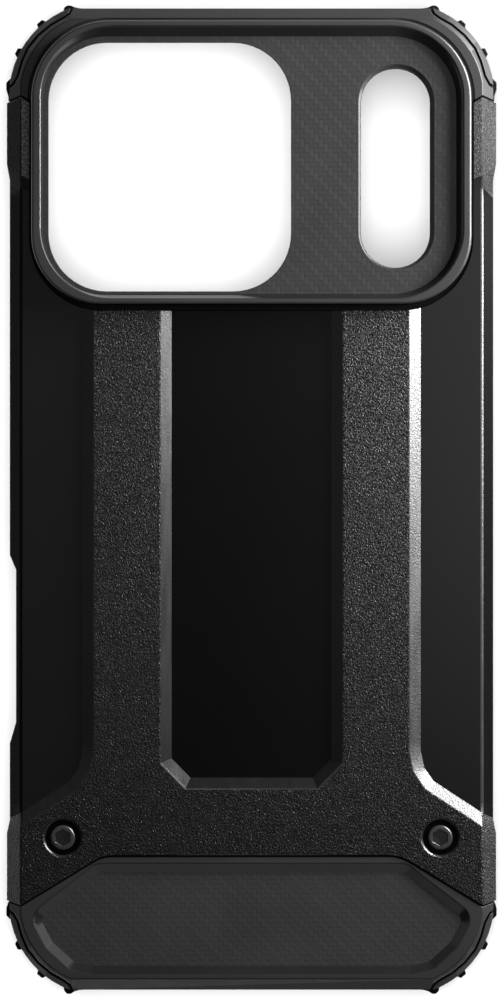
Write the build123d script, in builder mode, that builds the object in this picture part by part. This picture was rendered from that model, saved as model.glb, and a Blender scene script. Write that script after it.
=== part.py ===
from build123d import *
from math import atan, cos, degrees, radians, sin, sqrt
import os

os.makedirs("parts", exist_ok=True)

# Rugged two-layer phone case. All sizes in mm. It is drawn standing on its
# bottom edge: Z runs along the length (camera end up), the back of the case
# faces -Y, the phone goes in from +Y. "Level" means distance from the Y = 0
# plane towards the back, so a level h lies at Y = -h. The finished pieces are
# then laid down on the front rim: back up (+Z), camera end towards +Y, origin
# in the middle of the footprint.

# ---------------------------------------------------------------- levels
lv_front = -7.5        # front rim
lv_lip = -6.5          # underside of the screen lip
lv_rim = -5.5          # back of the full-width rim band
lv_floor_in = 2.3      # inner face of the sleeve floor
lv_floor_out = 3.35    # outer face of the sleeve floor, under the shell
lv_shell_in = 3.45     # inner face of the shell plate
lv_panel = 4.4         # smooth shell panels
lv_rail = 5.4          # grained rails, lower bar and arms
lv_soft = 5.2          # exposed soft shoulders and lower bumper
lv_pocket = 4.9        # ceiling of the camera plateau pocket
lv_cam_floor = 5.9     # woven floor inside the camera ring
lv_ring = 7.5          # crest of the camera ring
lv_low_floor = 4.5     # woven floor of the lower bumper
lv_mid = -2.1          # middle of the phone's thickness

# ---------------------------------------------------------------- outline
half_w = 37.95
z_bot = 0.71
z_top = 154.68
z_mid = (z_bot + z_top) / 2
pad_r = 14.74
pad_cx = 23.35
pad_cz = 140.95 - z_mid        # pad centre above the middle
back_chamfer = 1.75
front_chamfer = 0.5

# ---------------------------------------------------------------- phone space
cav_half_w = 36.0
cav_half_h = 75.05
cav_r = 13.0
cav_chamfer = 1.0
lip_inset = 1.1

# ---------------------------------------------------------------- shell
side_in = 37.05                # inner face of the shell's side walls
sleeve_side = 36.95            # outer face of the sleeve under the shell
arm_half_w = 38.4              # arms and lower bar, over the sides
crease_x = 36.2
shell_front = -5.4
rail_in = 14.33
rail_out = 24.74
bevel = 1.8                    # plan width of the rail bevels
rise = lv_rail - lv_panel

# ---------------------------------------------------------------- ring
ring_half_w = 34.5
ring_bot = 108.2
ring_top = 152.65

# ---------------------------------------------------------------- buttons
button_h = 4.4
button_clear = 0.15
flange = 0.5
buttons = {
    "power_button_cover": (-1, 102.2, 17.5),
    "action_button_cover": (1, 121.7, 7.5),
    "volume_up_cover": (1, 108.7, 10.0),
    "volume_down_cover": (1, 96.2, 10.0),
}
notches = [(1, 89.2, 126.9), (-1, 92.0, 112.4)]
notch_top = 1.3

# ---------------------------------------------------------------- studs
stud_x = 29.6
stud_z = 24.6
stud_head_r = 1.965
stud_hole_r = 2.73
stud_countersink_r = 3.05
socket_af = 2.34


def plan(level):
    """Plane parallel to the back of the case: local x is X, local y is Z."""
    return Plane.XZ.offset(level)


def both(points):
    """Right-hand half of a closed outline, bottom to top, with its mirror."""
    return points + [(-x, z) for x, z in reversed(points)]


def outline(grow):
    """Case outline: straight edges, with corner arcs that cut them."""
    w = half_w + grow
    h = z_top - z_mid + grow
    r = pad_r + grow
    dx = pad_cx + sqrt(r**2 - (h - pad_cz) ** 2)
    dz = pad_cz + sqrt(r**2 - (w - pad_cx) ** 2)
    qx = pad_cx + r * sin(radians(50))
    qz = pad_cz + r * cos(radians(50))
    with BuildLine() as edge:
        Line((-dx, z_mid + h), (dx, z_mid + h))
        ThreePointArc((dx, z_mid + h), (qx, z_mid + qz), (w, z_mid + dz))
        Line((w, z_mid + dz), (w, z_mid - dz))
        ThreePointArc((w, z_mid - dz), (qx, z_mid - qz), (dx, z_mid - h))
        Line((dx, z_mid - h), (-dx, z_mid - h))
        ThreePointArc((-dx, z_mid - h), (-qx, z_mid - qz), (-w, z_mid - dz))
        Line((-w, z_mid - dz), (-w, z_mid + dz))
        ThreePointArc((-w, z_mid + dz), (-qx, z_mid + qz), (-dx, z_mid + h))
    make_face(edge.edges())


def rounded(x0, x1, z0, z1, r):
    """Rounded rectangle between two corners."""
    with Locations(((x0 + x1) / 2, (z0 + z1) / 2)):
        RectangleRounded(x1 - x0, z1 - z0, r)


def soft_ring(half, low, high, r_low, r_high):
    """Ring outline with one radius at the bottom and another at the top."""
    with BuildLine() as edge:
        Polyline(
            (-half, low + r_low), (-half, high - r_high),
        )
        RadiusArc((-half, high - r_high), (-half + r_high, high), r_high)
        Line((-half + r_high, high), (half - r_high, high))
        RadiusArc((half - r_high, high), (half, high - r_high), r_high)
        Line((half, high - r_high), (half, low + r_low))
        RadiusArc((half, low + r_low), (half - r_low, low), r_low)
        Line((half - r_low, low), (-half + r_low, low))
        RadiusArc((-half + r_low, low), (-half, low + r_low), r_low)
    make_face(edge.edges())


def cross_section(points):
    """Closed (X, level) outline, mirrored, on a plane of constant Z."""
    pts = [(x, -h) for x, h in points]
    pts = pts + [(-x, y) for x, y in reversed(pts)]
    with BuildLine() as edge:
        Polyline(*pts, close=True)
    make_face(edge.edges())


def remove_beyond(p0, p1, p2, side):
    """Cut away what lies beyond the plane through three (X, level, Z) points."""
    a, b, c = (Vector(x, -h, z) for x, h, z in (p0, p1, p2))
    normal = (b - a).cross(c - a).normalized()
    if normal.Z * side < 0:
        normal = -normal
    with BuildSketch(Plane(origin=a, z_dir=normal)) as beyond:
        Rectangle(400, 400)
    extrude(beyond.sketch, amount=200, mode=Mode.SUBTRACT)


def shell_plan(gap):
    """Plan of the shell without its camera opening, grown by a gap."""
    with BuildLine() as edge:
        Polyline(
            *both([
                (23.28, 21.81 - gap),
                (crease_x, 13.96 - gap),
                (45.0, 16.98 - gap),
                (45.0, 137.07 + gap),
                (crease_x, 140.76 + gap),
                (34.0, 139.43 + gap),
            ]),
            close=True,
        )
    make_face(edge.edges())
    fillet(vertices().filter_by(lambda v: abs(abs(v.X) - 23.28) < 0.01), 6.0)


# ================================================================ sleeve
# Slab with the full outline, bevelled all round at back and front.
with BuildPart() as slab:
    with BuildSketch(plan(lv_front)) as slab_front:
        outline(-front_chamfer)
    with BuildSketch(plan(lv_front + front_chamfer)) as slab_front_edge:
        outline(0)
    loft([slab_front.sketch, slab_front_edge.sketch], ruled=True)
    extrude(slab_front_edge.sketch,
            amount=lv_soft - back_chamfer - lv_front - front_chamfer)
    with BuildSketch(plan(lv_soft - back_chamfer)) as slab_back_edge:
        outline(0)
    with BuildSketch(plan(lv_soft)) as slab_back:
        outline(-back_chamfer)
    loft([slab_back_edge.sketch, slab_back.sketch], ruled=True)

# Corner ribs: two plain ribs and two end ears on each ribbed corner pad.
with BuildPart() as ribs:
    with BuildSketch(plan(-6.4)):
        for sx in (1, -1):
            for sz, ear in ((1, 0.5), (-1, 0.71)):
                for angle in (40.5, 62.6):
                    a = radians(angle)
                    ux, uz = sin(a), cos(a)
                    tx, tz = cos(a), -sin(a)
                    corners = []
                    for t, r in ((-0.85, 13.9), (-0.85, 14.6), (-0.52, 15.3),
                                 (0.52, 15.3), (0.85, 14.6), (0.85, 13.9)):
                        x = pad_cx + ux * r + tx * t
                        z = pad_cz + uz * r + tz * t
                        corners.append((sx * x, z_mid + sz * z))
                    with BuildLine():
                        Polyline(*corners, close=True)
                    make_face()
                e = z_top - z_mid
                top_ear = [
                    (26.0, e - 1.0), (26.0, e), (27.0, e + 0.12 * ear),
                    (27.8, e + 0.45 * ear), (28.35, e + ear), (28.95, e + ear),
                    (29.4, e + 0.35 * ear), (29.55, e - 0.45), (29.2, e - 1.0),
                ]
                side_ear = [
                    (37.3, 143.9 - z_mid), (38.0, 143.6 - z_mid),
                    (38.5, 143.05 - z_mid), (38.5, 141.9 - z_mid),
                    (38.28, 141.25 - z_mid), (38.15, 140.75 - z_mid),
                    (38.15, 139.7 - z_mid), (37.3, 139.7 - z_mid),
                ]
                for ear_pts in (top_ear, side_ear):
                    with BuildLine():
                        Polyline(
                            *[(sx * x, z_mid + sz * z) for x, z in ear_pts],
                            close=True,
                        )
                    make_face()
    extrude(amount=9.5)

# Space taken by the shell: everything outside the sleeve's inner body
# wherever the shell lies over it.
with BuildPart() as shell_space:
    with BuildSketch(Plane.XY.offset(-2)):
        cross_section([
            (35.6, lv_floor_out), (sleeve_side, 2.12), (sleeve_side, lv_rim),
            (45.0, lv_rim), (45.0, 9.0),
        ])
    extrude(amount=160)
    with BuildSketch(plan(-9)):
        shell_plan(0.2)
    extrude(amount=20, mode=Mode.INTERSECT)

# Raised camera ring with a rounded crest.
with BuildPart() as ring_block:
    with BuildSketch(plan(lv_floor_in + 0.3)):
        soft_ring(ring_half_w, ring_bot, ring_top, 10.8, 12.2)
    extrude(amount=lv_ring - lv_floor_in - 0.3)
    fillet(ring_block.faces().sort_by(Axis.Y)[0].outer_wire().edges(), 0.45)

# Dished inside of the ring, down to the woven floor.
with BuildPart() as ring_dish:
    with BuildSketch(plan(lv_cam_floor)):
        rounded(-32.69, 32.1, 109.85, 150.19, 10.0)
    with BuildSketch(plan(lv_ring)):
        rounded(-33.05, 33.24, 109.05, 151.8, 11.2)
    loft()
    with BuildSketch(plan(lv_ring)):
        rounded(-33.05, 33.24, 109.05, 151.8, 11.2)
    extrude(amount=2)

# Phone space with a chamfered back edge and the opening inside the lip.
with BuildPart() as phone_space:
    with BuildSketch(plan(lv_lip)):
        rounded(-cav_half_w, cav_half_w, z_mid - cav_half_h,
                z_mid + cav_half_h, cav_r)
    extrude(amount=lv_floor_in - lv_lip)
    chamfer(phone_space.faces().sort_by(Axis.Y)[0].outer_wire().edges(),
            cav_chamfer)
    with BuildSketch(plan(lv_lip + 0.5)):
        rounded(-cav_half_w + lip_inset, cav_half_w - lip_inset,
                z_mid - cav_half_h + lip_inset, z_mid + cav_half_h - lip_inset,
                cav_r - lip_inset)
    extrude(amount=-3)

# Pocket for the phone's camera plateau.
with BuildPart() as plateau_space:
    with BuildSketch(plan(1.8)):
        rounded(-32.9, 32.9, 109.6, 151.2, 10.2)
    extrude(amount=lv_pocket - 1.8)
    fillet(plateau_space.faces().sort_by(Axis.Y)[0].outer_wire().edges(), 0.6)

with BuildPart() as inner_sleeve:
    add(slab.part)
    add(ribs.part)
    add(shell_space.part, mode=Mode.SUBTRACT)

    # valley round the ring, in the shoulders above the arms
    with BuildSketch(plan(lv_soft - 0.5)):
        soft_ring(ring_half_w + 0.45, 120.0, ring_top + 0.45, 12.0, 12.65)
    extrude(amount=4, mode=Mode.SUBTRACT)
    add(ring_block.part)
    add(ring_dish.part, mode=Mode.SUBTRACT)

    # raised frames round the button covers
    for side, z0, z1 in notches:
        with Locations((side * 37.0, -(lv_rim + notch_top - 0.15) / 2 + 0.05,
                        (z0 + z1) / 2)):
            Box(0.9, notch_top - 0.15 - lv_rim + 0.1, z1 - z0 - 0.3)

    add(phone_space.part, mode=Mode.SUBTRACT)
    add(plateau_space.part, mode=Mode.SUBTRACT)

    # camera window and flash slot, both with a bevelled outer edge
    with BuildSketch(plan(lv_pocket - 1)):
        rounded(-31.78, 6.19, 110.24, 149.19, 9.1)
    extrude(amount=4, mode=Mode.SUBTRACT)
    with BuildSketch(plan(lv_pocket - 1)):
        with Locations((22.55, 129.53)):
            SlotOverall(31.17, 10.8, rotation=90)
    extrude(amount=4, mode=Mode.SUBTRACT)
    with BuildSketch(plan(lv_cam_floor - 0.5)):
        with Locations((22.7, 129.75)):
            SlotOverall(31.2, 10.8, rotation=90)
    extrude(amount=1.0, taper=-45, mode=Mode.SUBTRACT)

    # groove that parts each ribbed corner pad from the shoulder
    with BuildSketch(plan(3.2)):
        for sx in (1, -1):
            for sz in (1, -1):
                run = [(28.0, 156.0), (28.26, 154.5), (28.57, 153.85),
                       (29.45, 153.19), (31.42, 152.08), (33.41, 150.43),
                       (35.10, 148.35), (36.0, 146.26), (36.62, 144.05),
                       (37.37, 142.73), (39.2, 141.6)]
                with BuildLine() as line:
                    Polyline(*[(sx * x, z_mid + sz * (z - z_mid))
                               for x, z in run])
                trace(line_width=0.32)
    extrude(amount=5, mode=Mode.SUBTRACT)

    # woven panel of the lower bumper, dished with a wide bevel
    with BuildSketch(plan(lv_low_floor)) as low_panel:
        with BuildLine():
            Polyline(
                *both([(24.9, 4.47), (27.8, 5.1), (31.2, 8.2), (33.2, 12.0),
                       (23.9, 19.2)]),
                close=True,
            )
        make_face()
        fillet(low_panel.vertices(), 1.2)
    extrude(amount=1.0, taper=-63, mode=Mode.SUBTRACT)

    # charging port, loudspeaker and microphone holes, top microphone
    with BuildSketch(Plane.XY.offset(-1)):
        with Locations((0, -lv_mid)):
            SlotOverall(13.0, 6.4)
        for sx in (1, -1):
            for i in range(5):
                with Locations((sx * (10.6 + 2.5 * i), -lv_mid)):
                    Circle(0.8)
    extrude(amount=6, mode=Mode.SUBTRACT)
    with BuildSketch(Plane.XY.offset(151)):
        with Locations((9.0, -lv_mid)):
            Circle(0.8)
    extrude(amount=6, mode=Mode.SUBTRACT)

    # button windows, with a deeper seat inside for each cover's flange
    for side, z, length in buttons.values():
        with Locations((side * 37.0, -lv_mid, z)):
            Box(3.2, button_h + 2 * button_clear, length + 2 * button_clear,
                mode=Mode.SUBTRACT)
        with Locations((side * 36.1, -lv_mid, z)):
            Box(0.7, button_h + 2 * (flange + button_clear),
                length + 2 * (flange + button_clear), mode=Mode.SUBTRACT)

    # scoop in the side over the camera control, and its opening
    with BuildSketch(plan(-9)):
        with BuildLine():
            Polyline((-45, 84.4), (-37.95, 68.9), (-sleeve_side, 66.6),
                     (-sleeve_side, 42.7), (-37.95, 39.3), (-45, 15.6),
                     close=True)
        make_face()
    extrude(amount=20, mode=Mode.SUBTRACT)
    with BuildSketch(Plane.YZ.offset(-40)):
        with Locations((-lv_mid, 54.65)):
            SlotOverall(18.6, 5.2, rotation=90)
    extrude(amount=6, mode=Mode.SUBTRACT)

    # holes for the studs, with a seat for the flange inside the floor
    for sx in (1, -1):
        with Locations((sx * stud_x, -2.8, stud_z)):
            Cylinder(1.25, 3.0, rotation=(90, 0, 0), mode=Mode.SUBTRACT)
        with Locations((sx * stud_x, -2.25, stud_z)):
            Cylinder(2.4, 1.0, rotation=(90, 0, 0), mode=Mode.SUBTRACT)

    # shallow cushioning cells in the floor
    with BuildSketch(plan(lv_floor_in - 0.5)):
        with Locations((0, 62.0)):
            with HexLocations(5.0, 6, 9, major_radius=False):
                RegularPolygon(4.2, 6, major_radius=False)
    extrude(amount=0.8, mode=Mode.SUBTRACT)

    # air slots inside the corners
    for sx in (1, -1):
        for sz in (1, -1):
            for angle in (24, 45, 66):
                a = radians(angle)
                x = sx * (23.0 + 13.0 * sin(a))
                z = z_mid + sz * (62.05 + 13.0 * cos(a))
                with Locations(Location((x, -lv_mid, z),
                                        (0, sx * sz * angle, 0))):
                    Box(1.6, 6.4, 1.2, mode=Mode.SUBTRACT)

# ================================================================ shell
# Plate and side walls at the level of the smooth panels.
with BuildPart() as panel_level:
    with BuildSketch(Plane.XY.offset(-2)):
        cross_section([
            (35.63, lv_shell_in), (side_in, 2.17), (side_in, shell_front),
            (half_w, shell_front), (half_w, 2.65), (crease_x, lv_panel),
        ])
    extrude(amount=160)

# Bevel lines where the raised parts meet the smooth side panels.
diag_slope = 0.655
arm_slope = 0.45
low_foot = 28.44               # foot of the lower bevel at the crease
high_foot = 126.46             # foot of the arm bevel at the crease
low_edge = low_foot - bevel / cos(atan(diag_slope))
high_edge = high_foot + bevel / cos(atan(arm_slope))

# Sides of the lower bar, outside the crease.
raised_side = [
    (crease_x, lv_panel - 0.8), (crease_x, lv_rail), (arm_half_w, 3.2),
    (arm_half_w, shell_front), (side_in + 0.2, shell_front),
    (side_in + 0.2, 2.0),
]
with BuildPart() as low_sides:
    with BuildSketch(Plane.XY.offset(-2)):
        with BuildLine():
            Polyline(*[(x, -h) for x, h in raised_side], close=True)
        make_face()
    extrude(amount=60)
    remove_beyond((crease_x, lv_rail, low_edge), (crease_x, lv_panel, low_foot),
                  (arm_half_w, 3.2, low_edge - 1.02), 1)
    remove_beyond((arm_half_w, 3.2, low_edge - 1.02),
                  (arm_half_w, -5.0, low_edge - 1.02),
                  (half_w, -5.0, low_edge + 1.02), 1)
    mirror(about=Plane.YZ)

# Sides of the arms, outside the crease.
with BuildPart() as arm_sides:
    with BuildSketch(Plane.XY.offset(100)):
        with BuildLine():
            Polyline(*[(x, -h) for x, h in raised_side], close=True)
        make_face()
    extrude(amount=60)
    remove_beyond((crease_x, lv_rail, high_edge), (crease_x, lv_panel, high_foot),
                  (arm_half_w, 3.2, high_edge + 0.75), -1)
    remove_beyond((arm_half_w, 3.2, 130.3), (arm_half_w, -5.0, 130.3),
                  (half_w, -5.0, 127.8), -1)
    mirror(about=Plane.YZ)

with BuildPart() as hard_shell:
    # rails, lower bar and arms between the creases
    with BuildSketch(Plane.XY.offset(-2)):
        cross_section([(crease_x, lv_panel - 0.4), (crease_x, lv_rail)])
    extrude(amount=160)

    # centre panel
    with BuildSketch(plan(lv_panel)):
        with BuildLine():
            Polyline(
                *both([(9.6, 34.0), (rail_in - bevel, 37.0),
                       (rail_in - bevel, 125.0)]),
                close=True,
            )
        make_face()
    extrude(amount=rise + 0.2, taper=-degrees(atan(bevel / rise)),
            mode=Mode.SUBTRACT)

    # side panels
    for sx in (1, -1):
        foot = rail_out + bevel
        with BuildSketch(plan(lv_panel)):
            with BuildLine():
                Polyline(
                    (sx * foot, 38.2), (sx * (foot + 0.55), 35.6),
                    (sx * (foot + 2.0),
                     low_foot + (crease_x - foot - 2.0) * diag_slope),
                    (sx * (crease_x + 10), low_foot - 10 * diag_slope),
                    (sx * (crease_x + 10), high_foot + 10 * arm_slope),
                    (sx * foot, high_foot - (crease_x - foot) * arm_slope),
                    close=True,
                )
            make_face()
        extrude(amount=rise + 0.2, taper=-degrees(atan(bevel / rise)),
                mode=Mode.SUBTRACT)

    add(panel_level.part)
    add(low_sides.part)
    add(arm_sides.part)

    # plan outline
    with BuildSketch(plan(-9)):
        shell_plan(0)
    extrude(amount=20, mode=Mode.INTERSECT)

    # opening for the camera ring
    with BuildSketch(plan(-9)):
        rounded(-34.75, 34.75, 107.3, 175.0, 11.4)
    extrude(amount=20, mode=Mode.SUBTRACT)

    # notches round the button covers, open towards the front
    for side, z0, z1 in notches:
        with Locations((side * 38.0, -(notch_top - 7.0) / 2, (z0 + z1) / 2)):
            Box(2.6, notch_top + 7.0, z1 - z0, mode=Mode.SUBTRACT)

    # scoop over the camera control
    with BuildSketch(plan(-9)):
        with BuildLine():
            Polyline((-45, 84.4), (-37.95, 68.9), (-sleeve_side, 66.6),
                     (-sleeve_side, 42.7), (-37.95, 39.3), (-45, 15.6),
                     close=True)
        make_face()
    extrude(amount=20, mode=Mode.SUBTRACT)

    # holes round the studs, countersunk
    for sx in (1, -1):
        with BuildSketch(plan(2)):
            with Locations((sx * stud_x, stud_z)):
                Circle(stud_hole_r)
        extrude(amount=5, mode=Mode.SUBTRACT)
        with BuildSketch(plan(lv_rail - 0.32)):
            with Locations((sx * stud_x, stud_z)):
                Circle(stud_hole_r)
        extrude(amount=0.5, taper=-45, mode=Mode.SUBTRACT)

    # hollow undersides of the two rails
    for sx in (1, -1):
        with BuildSketch(plan(lv_shell_in - 0.5)):
            rounded(sx * 19.5 - 4.0, sx * 19.5 + 4.0, 40.0, 103.0, 1.0)
        extrude(amount=1.25, mode=Mode.SUBTRACT)

# ================================================================ studs
def stud(sx):
    """Domed head with a hexagon socket, shank and inner flange."""
    with BuildSketch(plan(lv_floor_out + 0.05)) as head:
        with Locations((sx * stud_x, stud_z)):
            Circle(stud_head_r)
    extrude(head.sketch, amount=5.25 - lv_floor_out - 0.05)


with BuildPart() as left_hex_stud:
    stud(-1)
    fillet(left_hex_stud.faces().sort_by(Axis.Y)[0].edges(), 0.35)
    with BuildSketch(plan(5.25 - 0.8)):
        with Locations((-stud_x, stud_z)):
            RegularPolygon(socket_af / 2, 6, major_radius=False, rotation=30)
    extrude(amount=2, mode=Mode.SUBTRACT)
    with Locations((-stud_x, -2.95, stud_z)):
        Cylinder(1.2, 1.1, rotation=(90, 0, 0))
    with Locations((-stud_x, -2.53, stud_z)):
        Cylinder(2.2, 0.36, rotation=(90, 0, 0))

with BuildPart() as right_hex_stud:
    stud(1)
    fillet(right_hex_stud.faces().sort_by(Axis.Y)[0].edges(), 0.35)
    with BuildSketch(plan(5.25 - 0.8)):
        with Locations((stud_x, stud_z)):
            RegularPolygon(socket_af / 2, 6, major_radius=False, rotation=30)
    extrude(amount=2, mode=Mode.SUBTRACT)
    with Locations((stud_x, -2.95, stud_z)):
        Cylinder(1.2, 1.1, rotation=(90, 0, 0))
    with Locations((stud_x, -2.53, stud_z)):
        Cylinder(2.2, 0.36, rotation=(90, 0, 0))


# ================================================================ buttons
def cover(name):
    """Cap through the sleeve's side wall, with a flange behind the wall."""
    side, z, length = buttons[name]
    with BuildSketch(Plane.YZ.offset(side * 36.2)) as cap:
        with Locations((-lv_mid, z)):
            RectangleRounded(button_h, length, 1.1)
    extrude(cap.sketch, amount=side * 1.6)
    outer = faces().sort_by(Axis.X)[-1 if side > 0 else 0]
    chamfer(outer.edges(), 0.25)
    with BuildSketch(Plane.YZ.offset(side * 36.05)) as plate:
        with Locations((-lv_mid, z)):
            Rectangle(button_h + 2 * flange, length + 2 * flange)
    extrude(plate.sketch, amount=side * 0.35)


with BuildPart() as power_button_cover:
    cover("power_button_cover")

with BuildPart() as action_button_cover:
    cover("action_button_cover")

with BuildPart() as volume_up_cover:
    cover("volume_up_cover")

with BuildPart() as volume_down_cover:
    cover("volume_down_cover")

# ================================================================ lying pose
# Turned a quarter about X on to the front rim, and centred on its length.
length = 155.18
lay_down = Location((0, -length / 2, -lv_front), (-90, 0, 0))
inner_sleeve.part.move(lay_down)
hard_shell.part.move(lay_down)
left_hex_stud.part.move(lay_down)
right_hex_stud.part.move(lay_down)
power_button_cover.part.move(lay_down)
action_button_cover.part.move(lay_down)
volume_up_cover.part.move(lay_down)
volume_down_cover.part.move(lay_down)

inner_sleeve.part.label = "inner_sleeve"
hard_shell.part.label = "hard_shell"
left_hex_stud.part.label = "left_hex_stud"
right_hex_stud.part.label = "right_hex_stud"
power_button_cover.part.label = "power_button_cover"
action_button_cover.part.label = "action_button_cover"
volume_up_cover.part.label = "volume_up_cover"
volume_down_cover.part.label = "volume_down_cover"

export_step(inner_sleeve.part, "parts/inner_sleeve.step")
export_step(hard_shell.part, "parts/hard_shell.step")
export_step(left_hex_stud.part, "parts/left_hex_stud.step")
export_step(right_hex_stud.part, "parts/right_hex_stud.step")
export_step(power_button_cover.part, "parts/power_button_cover.step")
export_step(action_button_cover.part, "parts/action_button_cover.step")
export_step(volume_up_cover.part, "parts/volume_up_cover.step")
export_step(volume_down_cover.part, "parts/volume_down_cover.step")
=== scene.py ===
import math

import bmesh
import bpy
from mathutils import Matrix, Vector


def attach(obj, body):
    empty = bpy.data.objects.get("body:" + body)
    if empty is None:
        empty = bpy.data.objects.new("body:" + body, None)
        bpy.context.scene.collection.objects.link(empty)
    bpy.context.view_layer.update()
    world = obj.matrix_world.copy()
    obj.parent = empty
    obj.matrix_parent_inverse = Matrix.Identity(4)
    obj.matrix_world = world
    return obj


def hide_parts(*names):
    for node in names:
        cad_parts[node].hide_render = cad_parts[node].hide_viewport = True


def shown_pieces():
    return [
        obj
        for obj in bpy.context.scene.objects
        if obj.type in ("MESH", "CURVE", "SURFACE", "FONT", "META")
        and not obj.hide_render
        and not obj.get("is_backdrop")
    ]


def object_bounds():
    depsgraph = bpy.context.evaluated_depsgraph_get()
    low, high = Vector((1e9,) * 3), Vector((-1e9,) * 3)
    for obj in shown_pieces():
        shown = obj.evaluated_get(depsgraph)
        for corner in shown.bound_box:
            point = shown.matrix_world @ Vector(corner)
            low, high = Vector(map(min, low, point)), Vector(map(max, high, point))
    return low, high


# The case lies on its front rim: +Z is out of its back, +Y runs towards the
# camera end. "level" is millimetres towards the back, "along" millimetres
# from the bottom edge, as in the CAD.
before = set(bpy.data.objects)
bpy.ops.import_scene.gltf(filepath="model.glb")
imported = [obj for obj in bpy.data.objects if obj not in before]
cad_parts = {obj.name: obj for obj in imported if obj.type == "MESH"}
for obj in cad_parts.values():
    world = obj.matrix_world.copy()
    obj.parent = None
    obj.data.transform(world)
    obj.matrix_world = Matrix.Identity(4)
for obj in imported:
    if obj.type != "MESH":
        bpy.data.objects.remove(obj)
cad_lo, cad_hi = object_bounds()
RIM = 7.5
HALF = (cad_hi.y - cad_lo.y) * 500.0


def at(x, along, level):
    """A point of the frame in metres from X, along and level in millimetres."""
    return Vector((x, along - HALF, level + RIM)) / 1000.0


# ------------------------------------------------------------ node helpers
class Nodes:
    """Small builder for a material's node tree."""

    def __init__(self, name):
        self.material = bpy.data.materials.new(name)
        self.material.use_nodes = True
        self.tree = self.material.node_tree
        self.tree.nodes.clear()
        self.out = self.tree.nodes.new("ShaderNodeOutputMaterial")
        self.shader = self.tree.nodes.new("ShaderNodeBsdfPrincipled")
        self.link(self.shader.outputs["BSDF"], self.out.inputs["Surface"])
        self.coord = self.tree.nodes.new("ShaderNodeTexCoord").outputs["Object"]

    def link(self, a, b):
        self.tree.links.new(a, b)

    def put(self, value, socket):
        if isinstance(value, (int, float)):
            socket.default_value = value
        elif isinstance(value, (tuple, list)):
            socket.default_value = value
        else:
            self.link(value, socket)

    def math(self, op, a, b=0.0, c=0.0, clamp=False):
        n = self.tree.nodes.new("ShaderNodeMath")
        n.operation = op
        n.use_clamp = clamp
        self.put(a, n.inputs[0])
        self.put(b, n.inputs[1])
        self.put(c, n.inputs[2])
        return n.outputs[0]

    def split(self, vector):
        n = self.tree.nodes.new("ShaderNodeSeparateXYZ")
        self.link(vector, n.inputs[0])
        return n.outputs[0], n.outputs[1], n.outputs[2]

    def join(self, x, y, z):
        n = self.tree.nodes.new("ShaderNodeCombineXYZ")
        for v, s in zip((x, y, z), n.inputs):
            self.put(v, s)
        return n.outputs[0]

    def stretch(self, vector, x, y, z, turn=0.0):
        n = self.tree.nodes.new("ShaderNodeMapping")
        self.link(vector, n.inputs["Vector"])
        n.inputs["Rotation"].default_value = (0, 0, turn)
        n.inputs["Scale"].default_value = (x, y, z)
        return n.outputs[0]

    def noise(self, vector, scale, detail=2.0, rough=0.5, distortion=0.0):
        n = self.tree.nodes.new("ShaderNodeTexNoise")
        self.link(vector, n.inputs["Vector"])
        n.inputs["Scale"].default_value = scale
        n.inputs["Detail"].default_value = detail
        n.inputs["Roughness"].default_value = rough
        n.inputs["Distortion"].default_value = distortion
        return n.outputs["Fac"]

    def cells(self, vector, scale, randomness=1.0, out="Distance", feature="F1"):
        n = self.tree.nodes.new("ShaderNodeTexVoronoi")
        n.feature = feature
        self.link(vector, n.inputs["Vector"])
        n.inputs["Scale"].default_value = scale
        n.inputs["Randomness"].default_value = randomness
        return n.outputs[out]

    def ramp(self, fac, *stops):
        n = self.tree.nodes.new("ShaderNodeValToRGB")
        self.link(fac, n.inputs["Fac"])
        e = n.color_ramp.elements
        while len(e) < len(stops):
            e.new(0.5)
        for el, (pos, v) in zip(e, stops):
            el.position = pos
            el.color = (v, v, v, 1) if isinstance(v, (int, float)) else (*v, 1)
        return n.outputs["Color"]

    def span(self, value, a, b, c, d):
        n = self.tree.nodes.new("ShaderNodeMapRange")
        n.clamp = True
        self.put(value, n.inputs["Value"])
        for k, v in zip(("From Min", "From Max", "To Min", "To Max"), (a, b, c, d)):
            self.put(v, n.inputs[k])
        return n.outputs["Result"]

    def tint(self, fac, a, b):
        n = self.tree.nodes.new("ShaderNodeMix")
        n.data_type = "RGBA"
        self.put(fac, n.inputs["Factor"])
        self.put((*a, 1), n.inputs[6]) if isinstance(a, tuple) else self.link(a, n.inputs[6])
        self.put((*b, 1), n.inputs[7]) if isinstance(b, tuple) else self.link(b, n.inputs[7])
        return n.outputs[2]

    def bump(self, height, strength, distance, normal=None):
        n = self.tree.nodes.new("ShaderNodeBump")
        self.link(height, n.inputs["Height"])
        n.inputs["Strength"].default_value = strength
        n.inputs["Distance"].default_value = distance
        if normal is not None:
            self.link(normal, n.inputs["Normal"])
        return n.outputs["Normal"]

    def set(self, **kw):
        names = {
            "color": "Base Color", "rough": "Roughness", "ior": "IOR",
            "spec": "Specular IOR Level", "normal": "Normal",
            "coat": "Coat Weight", "coat_rough": "Coat Roughness",
            "sheen": "Sheen Weight", "metal": "Metallic",
        }
        for k, v in kw.items():
            if k == "color" and isinstance(v, tuple) and len(v) == 3:
                v = (*v, 1)
            self.put(v, self.shader.inputs[names[k]])
        return self.material


def grey(v, warm=0.0):
    return (v * (1 + warm), v, v * (1 - warm))


# ------------------------------------------------------------ materials
def satin_material(name="soft_satin", value=0.011, spec=0.35):
    """Soft moulded rubber: fine even texture with faint handling marks."""
    m = Nodes(name)
    fine = m.noise(m.coord, 5200, 2, 0.6)
    broad = m.noise(m.coord, 60, 3, 0.5)
    m.set(
        color=m.tint(broad, grey(value * 0.86), grey(value * 1.14)),
        rough=m.span(broad, 0.3, 0.7, 0.36, 0.42),
        spec=spec,
        normal=m.bump(fine, 0.18, 0.00003),
    )
    return m.material


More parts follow.
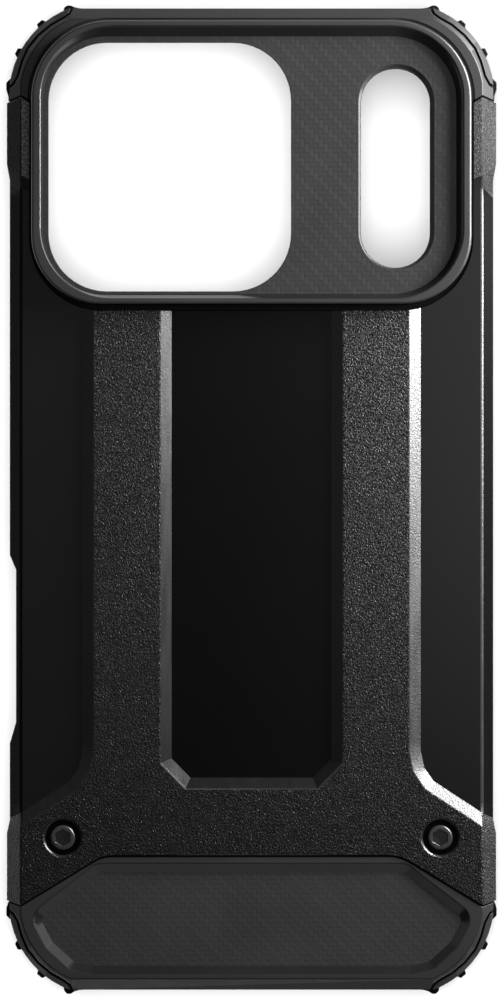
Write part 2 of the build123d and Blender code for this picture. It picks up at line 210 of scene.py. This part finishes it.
def polished_material():
    """Polished bevels of the sleeve, with faint ripples from the mould."""
    m = Nodes("soft_polished")
    ripple = m.noise(m.stretch(m.coord, 1, 1, 1), 320, 2, 0.5)
    wide = m.noise(m.coord, 90, 2, 0.5)
    m.set(
        color=grey(0.006),
        rough=m.span(wide, 0.3, 0.7, 0.16, 0.24),
        spec=0.35,
        normal=m.bump(ripple, 0.22, 0.00012),
    )
    return m.material


def woven_material(name, relief, light, dark, dash):
    """Moulded 2/2 twill: lifted lengthways floats, lower crosswise floats, dark gaps between them. The lengthways
    floats are painted lighter than the crosswise ones: painted light.
    """
    m = Nodes(name)
    cell = 0.000745
    x, y, z = m.split(m.coord)
    u = m.math("DIVIDE", x, cell)
    v = m.math("DIVIDE", y, cell)
    iu, iv = m.math("FLOOR", u), m.math("FLOOR", v)
    fu, fv = m.math("SUBTRACT", u, iu), m.math("SUBTRACT", v, iv)
    # phase 0..3 of the twill in this cell; the diagonal falls to the right
    phase = m.math("FLOORED_MODULO", m.math("ADD", iu, iv), 4.0)
    lengthways = m.math("LESS_THAN", phase, 1.5)
    crosswise = m.math("SUBTRACT", 1.0, lengthways)
    # place along the float, 0..1 over its two cells
    first = m.math("FLOORED_MODULO", phase, 2.0)
    run_v = m.math("DIVIDE", m.math("ADD", fv, first), 2.0)
    run_u = m.math("DIVIDE", m.math("ADD", fu, first), 2.0)

    def from_middle(value):
        return m.math("MULTIPLY", m.math("ABSOLUTE", m.math("SUBTRACT", value, 0.5)), 2.0)

    def crown(cross, end):
        side = m.math("SUBTRACT", 1.0, m.math("POWER", cross, 3.0))
        tip = m.math("SUBTRACT", 1.0, m.math("POWER", end, 8.0))
        return m.math("MULTIPLY", side, tip)

    cu, cv = from_middle(fu), from_middle(fv)
    eu, ev = from_middle(run_u), from_middle(run_v)
    up = m.math("MULTIPLY", crown(cu, ev), lengthways)
    over = m.math("MULTIPLY", m.math("MULTIPLY", crown(cv, eu), 0.7), crosswise)
    fibres = m.noise(m.coord, 5200, 2, 0.6)
    height = m.math("ADD", m.math("ADD", up, over), m.math("MULTIPLY", fibres, 0.2))
    gap = m.math("MULTIPLY", m.span(ev, 0.84, 0.95, 0.0, dash), lengthways)
    end_gap = m.math("MULTIPLY", m.span(eu, 0.84, 0.95, 0.0, dash * 0.9), crosswise)
    side_gap = m.math("MULTIPLY", m.span(cv, 0.80, 0.98, 0.0, dash * 0.3), crosswise)
    open_ = m.math("MAXIMUM", m.math("MAXIMUM", gap, end_gap), side_gap)
    blotch = m.noise(m.coord, 130, 2, 0.5)
    # painted light: the lengthways floats take the lighter colour light, the crosswise floats the darker colour
    # dark
    lit = m.math("MULTIPLY", m.span(blotch, 0.3, 0.7, 0.85, 1.1), lengthways)
    cloth = m.tint(lit, grey(dark), grey(light))
    m.set(
        color=m.tint(open_, cloth, grey(dark * 0.25)),
        rough=m.span(blotch, 0.3, 0.7, 0.40, 0.48),
        spec=0.3,
        normal=m.bump(height, 1.0, relief),
    )
    return m.material


def grain_material(name, size, relief, low, high, painted_glints, spec, left, right):
    """Coarse sandy grain of the hard shell's raised parts, with painted light and shade in its colour: lighter on
    the bumps and darker in the hollows, painted glints, darker towards the bottom and scaled from left to right.
    """
    m = Nodes(name)
    turned = m.stretch(m.coord, 1.0, 0.78, 1.0, 0.5)
    pebble = m.cells(turned, 1.0 / size, 1.0)
    lumps = m.noise(turned, 0.75 / size, 2, 0.55)
    patch = m.noise(m.coord, 0.12 / size, 2, 0.5)
    height = m.math("ADD", m.math("MULTIPLY", pebble, -0.55), m.math("MULTIPLY", lumps, 1.5))
    x, y, z = m.split(m.coord)
    # painted shade: the grain's colour darkens towards the bottom (y), where the light falls off
    painted_shade_to_bottom = m.span(y, -0.055, 0.02, 0.30, 1.0)
    # painted light and shade: the colour is scaled from left to right (x) between the factors left and right,
    # lighter where the light falls stronger
    side = m.math("MULTIPLY", m.span(x, -0.034, 0.034, left, right), painted_shade_to_bottom)
    # grain tone that follows the relief, lighter on the bumps and darker in the hollows: painted light and shade
    relief_painted_light = m.span(lumps, 0.46, 0.62, low, high)
    # painted glints: scattered bright middles of some of the cells
    chosen = m.split(m.cells(turned, 1.0 / size, 1.0, out="Color"))[0]
    tip = m.math("MULTIPLY", m.span(pebble, 0.22, 0.34, 1.0, 0.0), m.math("GREATER_THAN", chosen, 0.72))
    relief_painted_light = m.math("ADD", relief_painted_light, m.math("MULTIPLY", tip, painted_glints))
    value = m.math("MULTIPLY", relief_painted_light, side)
    m.set(
        color=m.join(value, value, value),
        rough=m.span(patch, 0.3, 0.7, 0.26, 0.36),
        spec=spec,
        normal=m.bump(height, 1.0, relief),
    )
    return m.material


def panel_material(name, spec):
    """Smooth satin panels and side walls of the hard shell."""
    m = Nodes(name)
    broad = m.noise(m.coord, 45, 3, 0.5)
    m.set(
        color=m.tint(broad, grey(0.0008), grey(0.0011)),
        rough=m.span(broad, 0.3, 0.7, 0.27, 0.29),
        spec=spec,
    )
    return m.material


def bevel_material(name, spec, rough, relief):
    """Satin bevels beside the rails, lightly textured."""
    m = Nodes(name)
    fine = m.noise(m.coord, 3600, 3, 0.65)
    streak = m.noise(m.stretch(m.coord, 1, 0.12, 1), 900, 2, 0.5)
    m.set(
        color=m.tint(streak, grey(0.004), grey(0.007)),
        rough=m.span(streak, 0.3, 0.7, rough - 0.03, rough + 0.03),
        spec=spec,
        normal=m.bump(fine, relief, 0.00004),
    )
    return m.material


def inside_material(name, value):
    """Matte inner faces."""
    m = Nodes(name)
    fine = m.noise(m.coord, 4200, 3, 0.6)
    m.set(
        color=m.tint(fine, grey(value * 0.85), grey(value * 1.2)),
        rough=m.span(fine, 0.3, 0.7, 0.52, 0.62),
        spec=0.4,
        normal=m.bump(fine, 0.2, 0.00004),
    )
    return m.material


def stud_material():
    """Semi-gloss moulded stud with light scuffs."""
    m = Nodes("stud_gloss")
    scuff = m.noise(m.stretch(m.coord, 1, 0.3, 1), 2600, 3, 0.6)
    m.set(
        color=m.tint(scuff, grey(0.010), grey(0.016)),
        rough=m.span(scuff, 0.35, 0.7, 0.22, 0.36),
        spec=0.55,
        normal=m.bump(scuff, 0.2, 0.00002),
    )
    return m.material


def floor_material():
    """Pale seamless paper."""
    m = Nodes("pale_paper")
    fine = m.noise(m.coord, 40, 3, 0.5)
    m.set(
        color=m.tint(fine, grey(0.84), grey(0.86)),
        rough=m.span(fine, 0.3, 0.7, 0.85, 0.95),
        spec=0.2,
    )
    return m.material


SATIN = satin_material()
POLISHED = polished_material()
SATIN_SIDE = satin_material("soft_satin_side", 0.011, 0.16)
# near-black satin for the gap under the camera ring: painted shade
SHADE = satin_material("soft_shade", 0.0015, 0.08)
# the two colours of each weave are its painted-light and painted-shade floats
WOVEN = woven_material("woven_camera", 0.000010, 0.0104, 0.0090, 1.0)
WOVEN_LOW = woven_material("woven_lower", 0.000005, 0.0140, 0.0132, 0.95)
# the last two numbers of each grain are its painted light and shade from left to right; the arm's 7.0 paints light
# onto the left arm
GRAIN = grain_material("shell_grain", 0.00019, 0.00009, 0.0006, 0.026, 0.09, 0.20, 0.5, 1.1)
ARM = grain_material("arm_grain", 0.00019, 0.00005, 0.008, 0.030, 0.03, 0.12, 7.0, 1.3)
ARM_OUT = grain_material("arm_grain_outer", 0.00017, 0.00004, 0.006, 0.020, 0.01, 0.05, 0.6, 1.0)
PANEL = panel_material("shell_panel", 0.26)
CENTRE = panel_material("shell_centre", 0.09)
WALL = panel_material("shell_wall", 0.05)
BEVEL = bevel_material("shell_bevel", 0.3, 0.25, 0.35)
BEVEL_END = bevel_material("shell_bevel_end", 0.12, 0.25, 0.35)
BEVEL_OUT = bevel_material("shell_bevel_outer", 0.56, 0.31, 0.9)
INSIDE = inside_material("sleeve_inside", 0.005)
SHELL_INSIDE = inside_material("shell_inside", 0.010)
STUD = stud_material()


# ------------------------------------------------------------ pieces
def settle(obj, strip, turn, finish):
    """Make the rounding part of the mesh. Flat faces keep their own normal, and the rounded strips
    (material index strip) run smoothly from one face's normal to the next. finish may give them
    another material."""
    view = bpy.context.evaluated_depsgraph_get()
    done = bpy.data.meshes.new_from_object(
        obj.evaluated_get(view), preserve_all_data_layers=True, depsgraph=view
    )
    obj.modifiers.clear()
    done.name = obj.data.name + "_rounded"
    bm = bmesh.new()
    bm.from_mesh(done)
    bmesh.ops.dissolve_degenerate(bm, dist=1e-7, edges=bm.edges)
    bmesh.ops.triangulate(
        bm, faces=[f for f in bm.faces if len(f.verts) > 4],
        quad_method="BEAUTY", ngon_method="BEAUTY",
    )
    bm.normal_update()
    region = bm.faces.layers.int["region"]
    limit = math.radians(turn)
    rounded, area = set(), {}
    bm.faces.index_update()
    for f in bm.faces:
        area[f.index] = max(f.calc_area(), 1e-15)
        c = f.calc_center_median()
        if f.material_index == strip:
            rounded.add(f.index)
            f.material_index = finish(c.x * 1000, c.y * 1000 + HALF, c.z * 1000 - RIM, f[region])
        else:
            f.material_index = f[region]
    normals = {}
    for v in bm.verts:
        flat = [l for l in v.link_loops if l.face.index not in rounded]
        strips = [l for l in v.link_loops if l.face.index in rounded]
        flat.sort(key=lambda l: (-area[l.face.index], l.face.index))
        groups = []
        for l in flat:
            n = l.face.normal
            if n.length < 0.5:
                continue
            for g in groups:
                if n.angle(g[0]) < limit:
                    g[1] += n * area[l.face.index]
                    g[2].append(l)
                    break
            else:
                groups.append([n.copy(), n * area[l.face.index], [l]])
        for g in groups:
            n = g[1].normalized()
            g[0] = n
            for l in g[2]:
                normals[(l.face.index, v.index)] = n
        middle = Vector((0, 0, 0))
        for l in strips:
            middle += l.face.normal * l.calc_angle()
        middle = middle.normalized() if middle.length > 1e-9 else v.normal
        for l in strips:
            n = l.face.normal
            if n.length < 0.5:
                normals[(l.face.index, v.index)] = middle
                continue
            best = min((g[0] for g in groups), key=n.angle, default=middle)
            # a face that the rounding used up can point the wrong way
            if n.angle(best) > math.radians(60):
                best = middle if n.angle(middle) < math.radians(60) else n
            normals[(l.face.index, v.index)] = best
    bm.to_mesh(done)
    bm.free()
    every = []
    for p in done.polygons:
        for i in p.loop_indices:
            n = normals.get((p.index, done.loops[i].vertex_index))
            every.append(tuple(n) if n is not None else tuple(p.normal))
    obj.data = done
    done.materials.pop(index=len(done.materials) - 1)
    done.normals_split_custom_set(every)


def piece_from(node, name, body, materials, pick, soften, turn=20.0, cuts=(), finish=None):
    """A finished piece on a CAD node's shape: clean faces, rounded edges and one material for each region.
    soften gives each sharp edge's rounding in millimetres."""
    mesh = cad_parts[node].data.copy()
    mesh.name = name
    mesh.materials.clear()
    for mat in materials:
        mesh.materials.append(mat)
    bm = bmesh.new()
    bm.from_mesh(mesh)
    bmesh.ops.remove_doubles(bm, verts=bm.verts, dist=2e-6)
    bmesh.ops.dissolve_limit(
        bm, angle_limit=math.radians(0.7), use_dissolve_boundaries=False,
        verts=bm.verts, edges=bm.edges, delimit=set(),
    )
    for axis, place in cuts:
        point, normal = [0.0, 0.0, 0.0], [0.0, 0.0, 0.0]
        point[axis], normal[axis] = place, 1.0
        bmesh.ops.bisect_plane(
            bm, geom=bm.verts[:] + bm.edges[:] + bm.faces[:], dist=1e-7,
            plane_co=point, plane_no=normal,
        )
    bmesh.ops.triangulate(
        bm, faces=[f for f in bm.faces if len(f.verts) > 4],
        quad_method="BEAUTY", ngon_method="BEAUTY",
    )
    bm.normal_update()
    region = bm.faces.layers.int.new("region")
    weight = bm.edges.layers.float.get("bevel_weight_edge") or bm.edges.layers.float.new("bevel_weight_edge")
    for f in bm.faces:
        c = f.calc_center_median()
        f.material_index = pick(
            c.x * 1000, c.y * 1000 + HALF, c.z * 1000 - RIM, f.normal, f
        )
        f[region] = f.material_index
        f.smooth = True
    for e in bm.edges:
        if len(e.link_faces) != 2 or e.calc_face_angle(0.0) < math.radians(turn):
            continue
        c = (e.verts[0].co + e.verts[1].co) / 2
        e[weight] = min(1.0, soften(
            c.x * 1000, c.y * 1000 + HALF, c.z * 1000 - RIM,
            e.calc_face_angle_signed(0.0), e,
        ) / WIDEST)
    bm.to_mesh(mesh)
    bm.free()
    obj = bpy.data.objects.new(name, mesh)
    bpy.context.scene.collection.objects.link(obj)
    mesh.materials.append(materials[0])
    bevel = obj.modifiers.new("round", "BEVEL")
    bevel.width = WIDEST / 1000.0
    bevel.segments = 3
    bevel.limit_method = "WEIGHT"
    bevel.use_clamp_overlap = False
    bevel.material = len(materials)
    settle(obj, len(materials), turn, finish or (lambda x, along, level, region: region))
    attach(obj, body)
    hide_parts(node)
    return obj


WIDEST = 0.38


def shell_edge(x, along, level, turn, e):
    if abs(abs(x) - 36.2) < 0.05 and level > 4.2 and turn > 0:
        return 0.30
    if level > 5.35 and turn > 0:
        return 0.17
    if turn < 0:
        return 0.0
    return 0.12


def sleeve_edge(x, along, level, turn, e):
    if turn < 0:
        return 0.0
    short = min(e.calc_length() * 1000 * 0.6, 0.18)
    if level > 7.0:
        return 0.20
    if level > 5.8 and 109 < along < 152:
        return 0.10
    if level > 4.4 and along < 24:
        return 0.14
    if level < 2.4 and abs(x) < 36.2 and 2.7 < along < 152.6:
        return 0.04
    return max(0.04, min(0.16, short)) if turn > 0 else 0.05


def shell_strip(x, along, level, region):
    """The rounded creases and the recess's lower edges catch the light."""
    if x > 35.9 and level > 4.0 and 27.5 < along < 126.0:
        return 5
    if x < -35.9 and level > 4.0 and 27.5 < along < 126.0:
        return 7
    if level > 5.2 and abs(x) < 14.5 and along < 38.0:
        return 5
    return region


def sleeve_strip(x, along, level, region):
    return 5 if region == 0 else region


def sleeve_region(x, along, level, n, f):
    """0 satin, 1 polished, 2 camera weave, 3 lower weave, 4 inside, 5 outer sides, 6 painted shade under the ring.
    """
    if n.z > 0.999 and abs(level - 5.9) < 0.03:
        return 2
    if n.z > 0.999 and abs(level - 4.5) < 0.03 and along < 22:
        return 3
    if 5.88 < level < 7.4 and abs(x) < 33.3 and 109.0 < along < 151.9:
        return 1
    if 4.48 < level < 5.19 and along < 21 and abs(n.z) > 0.2 and abs(x) < 34:
        return 1
    if n.z < -0.2 and -6.6 < level < 5.2 and abs(x) < 36.2:
        return 4
    # painted shade: up-facing faces below level 3.4 (the gap's floor under the ring) and the ring's lower flank get
    # the near-black material
    if n.z > 0.9 and level < 3.4:
        return 6
    if n.y < -0.25 and abs(x) < 33 and 100 < along < 112 and 3.0 < level < 7.3:
        return 6
    if n.z < 0.9 and level < 5.19 and (abs(x) > 34.8 or along > 152.8 or along < 3.5):
        return 5
    return 0


def shell_region(x, along, level, n, f):
    """0 panel, 1 grain, 2 bevel, 3 inside, 4 arm, 5 bright outer bevel, 6 centre panel,
    7 side wall, 8 arm's outer bevel, 9 lower end of the centre recess."""
    if n.z > 0.999 and abs(level - 5.4) < 0.03:
        return 4 if along > 126.0 else 1
    if 0.3 < n.z < 0.99 and 4.38 < level < 5.42 and abs(x) < 36.21:
        if x > 24.0 and n.x > 0.1 and along < 125:
            return 5
        return 9 if abs(x) < 14.4 and along < 38.0 and abs(n.y) > 0.1 else 2
    if abs(x) > 36.19 and (along < 27.5 or along > 126.0):
        if n.z > -0.1 and abs(n.x) > 0.3 and abs(x) > 36.3:
            return 8 if along > 126.0 else 1
        return 7
    if n.z > 0.99 and abs(x) < 13 and abs(level - 4.4) < 0.05:
        return 6
    if abs(x) > 36.19 and n.z > -0.2:
        return 7
    if n.z < -0.2:
        return 3
    return 0


sleeve = piece_from(
    "inner_sleeve", "soft_sleeve", "sleeve",
    [SATIN, POLISHED, WOVEN, WOVEN_LOW, INSIDE, SATIN_SIDE, SHADE], sleeve_region, sleeve_edge,
    finish=sleeve_strip,
)
shell = piece_from(
    "hard_shell", "railed_shell", "shell",
    [PANEL, GRAIN, BEVEL, SHELL_INSIDE, ARM, BEVEL_OUT, CENTRE, WALL, ARM_OUT, BEVEL_END], shell_region, shell_edge,
    cuts=[(1, (y - HALF) / 1000) for y in (30.2, 31.4, 33.0, 40.0, 60.0, 80.0, 100.0, 110.5, 118.0, 123.8, 125.0)]
    + [(0, sx * x / 1000) for sx in (1, -1) for x in (35.0, 27.6, 11.6)],
    finish=shell_strip,
)
for side in ("left", "right"):
    piece_from(
        side + "_hex_stud", side + "_stud", "sleeve", [STUD],
        lambda x, along, level, n, f: 0,
        lambda x, along, level, turn, e: 0.07, 28.0,
    )
for node, body in (
    ("power_button_cover", "power_button"),
    ("action_button_cover", "action_button"),
    ("volume_up_cover", "volume_up_button"),
    ("volume_down_cover", "volume_down_button"),
):
    piece_from(
        node, body + "_cap", body, [SATIN],
        lambda x, along, level, n, f: 0,
        lambda x, along, level, turn, e: 0.09, 25.0,
    )

# ------------------------------------------------------------ floor
def paper(name, *rings):
    """Paper laid through the rings, each a radius and a height in metres. A radius of 0 closes it."""
    bm = bmesh.new()
    rows = []
    for radius, height in rings:
        if radius == 0:
            rows.append([bm.verts.new((0, 0, height))] * 96)
            continue
        rows.append([
            bm.verts.new((radius * math.cos(a), radius * math.sin(a), height))
            for a in (math.tau * i / 96 for i in range(96))
        ])
    for inner, outer in zip(rows, rows[1:]):
        for i in range(96):
            j = (i + 1) % 96
            if inner[i] is inner[j]:
                bm.faces.new((inner[i], outer[i], outer[j]))
            else:
                bm.faces.new((inner[i], outer[i], outer[j], inner[j]))
    mesh = bpy.data.meshes.new(name)
    bm.to_mesh(mesh)
    bm.free()
    mesh.materials.append(PAPER)
    obj = bpy.data.objects.new(name, mesh)
    bpy.context.scene.collection.objects.link(obj)
    obj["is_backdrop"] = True
    return obj


PAPER = floor_material()
floor = paper("paper_floor", (0, 0.0), (0.5, 0.0))
# the far paper and its rising edge are only a background, so the case doesn't reflect them
sweep = paper(
    "paper_sweep", (0.5, 0.0), (1.5, 0.0), (3.9, 0.0), (4.1, 0.02), (4.25, 0.08), (4.35, 0.22), (4.38, 0.7)
)
sweep.visible_diffuse = False
sweep.visible_glossy = False

# ------------------------------------------------------------ light
bpy.context.scene.view_settings.view_transform = "Standard"
world = bpy.data.worlds.new("studio")
bpy.context.scene.world = world
world.use_nodes = True
world.node_tree.nodes["Background"].inputs["Color"].default_value = (0.95, 0.97, 1.0, 1)
world.node_tree.nodes["Background"].inputs["Strength"].default_value = 0.09


def softbox(name, place, target, width, height, watts, spread=180.0):
    lamp = bpy.data.lights.new(name, "AREA")
    lamp.shape = "RECTANGLE"
    lamp.size, lamp.size_y = width, height
    lamp.energy = watts
    lamp.spread = math.radians(spread)
    obj = bpy.data.objects.new(name, lamp)
    bpy.context.scene.collection.objects.link(obj)
    obj.location = place
    obj.rotation_euler = (Vector(target) - Vector(place)).to_track_quat("-Z", "Y").to_euler()
    obj.visible_camera = False
    return obj


studio = [
    softbox("key", (0.17, 0.105, 0.075), (0.02, 0.06, 0.01), 0.16, 0.07, 3.6),
    softbox("over_right", (0.135, 0.06, 0.26), (0.06, 0.03, 0.0), 0.14, 0.26, 0.19),
    softbox("over_left", (-0.165, 0.02, 0.26), (-0.06, 0.0, 0.0), 0.14, 0.26, 0.046),
    softbox("fill_left", (-0.21, 0.06, 0.11), (-0.03, 0.04, 0.0), 0.22, 0.10, 0.012),
    softbox("fill_low", (0.02, -0.22, 0.11), (0.0, -0.06, 0.0), 0.24, 0.10, 0.055),
]
shown = bpy.data.collections.new("lit_by_studio")
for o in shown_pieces():
    shown.objects.link(o)
for o in studio:
    o.light_linking.receiver_collection = shown

# the paper has a light of its own, straight above
paper_light = softbox("paper_light", (0.0, 0.0, 1.2), (0.0, 0.0, 0.0), 1.6, 1.6, 42.0)
lit = bpy.data.collections.new("lit_by_paper_light")
lit.objects.link(floor)
paper_light.light_linking.receiver_collection = lit
sweep_light = softbox("sweep_light", (0.0, 0.0, 3.0), (0.0, 0.0, 0.0), 12.0, 12.0, 1400.0)
far = bpy.data.collections.new("lit_by_sweep_light")
far.objects.link(sweep)
sweep_light.light_linking.receiver_collection = far

# ------------------------------------------------------------ camera
cam = bpy.data.cameras.new("camera")
camera = bpy.data.objects.new("camera", cam)
bpy.context.scene.collection.objects.link(camera)
cam.sensor_width = 36.0
cam.lens = 400.0
# height of the view at the level of the shell's back, over the long side
seen = 0.1568
distance = seen / 2 / math.tan(math.atan(cam.sensor_width / 2 / cam.lens))
camera.location = (0.0, -0.00005, 0.0125 + distance)
camera.rotation_euler = (0.0, 0.0, 0.0)
cam.clip_start, cam.clip_end = 0.05, 40.0
bpy.context.scene.camera = camera
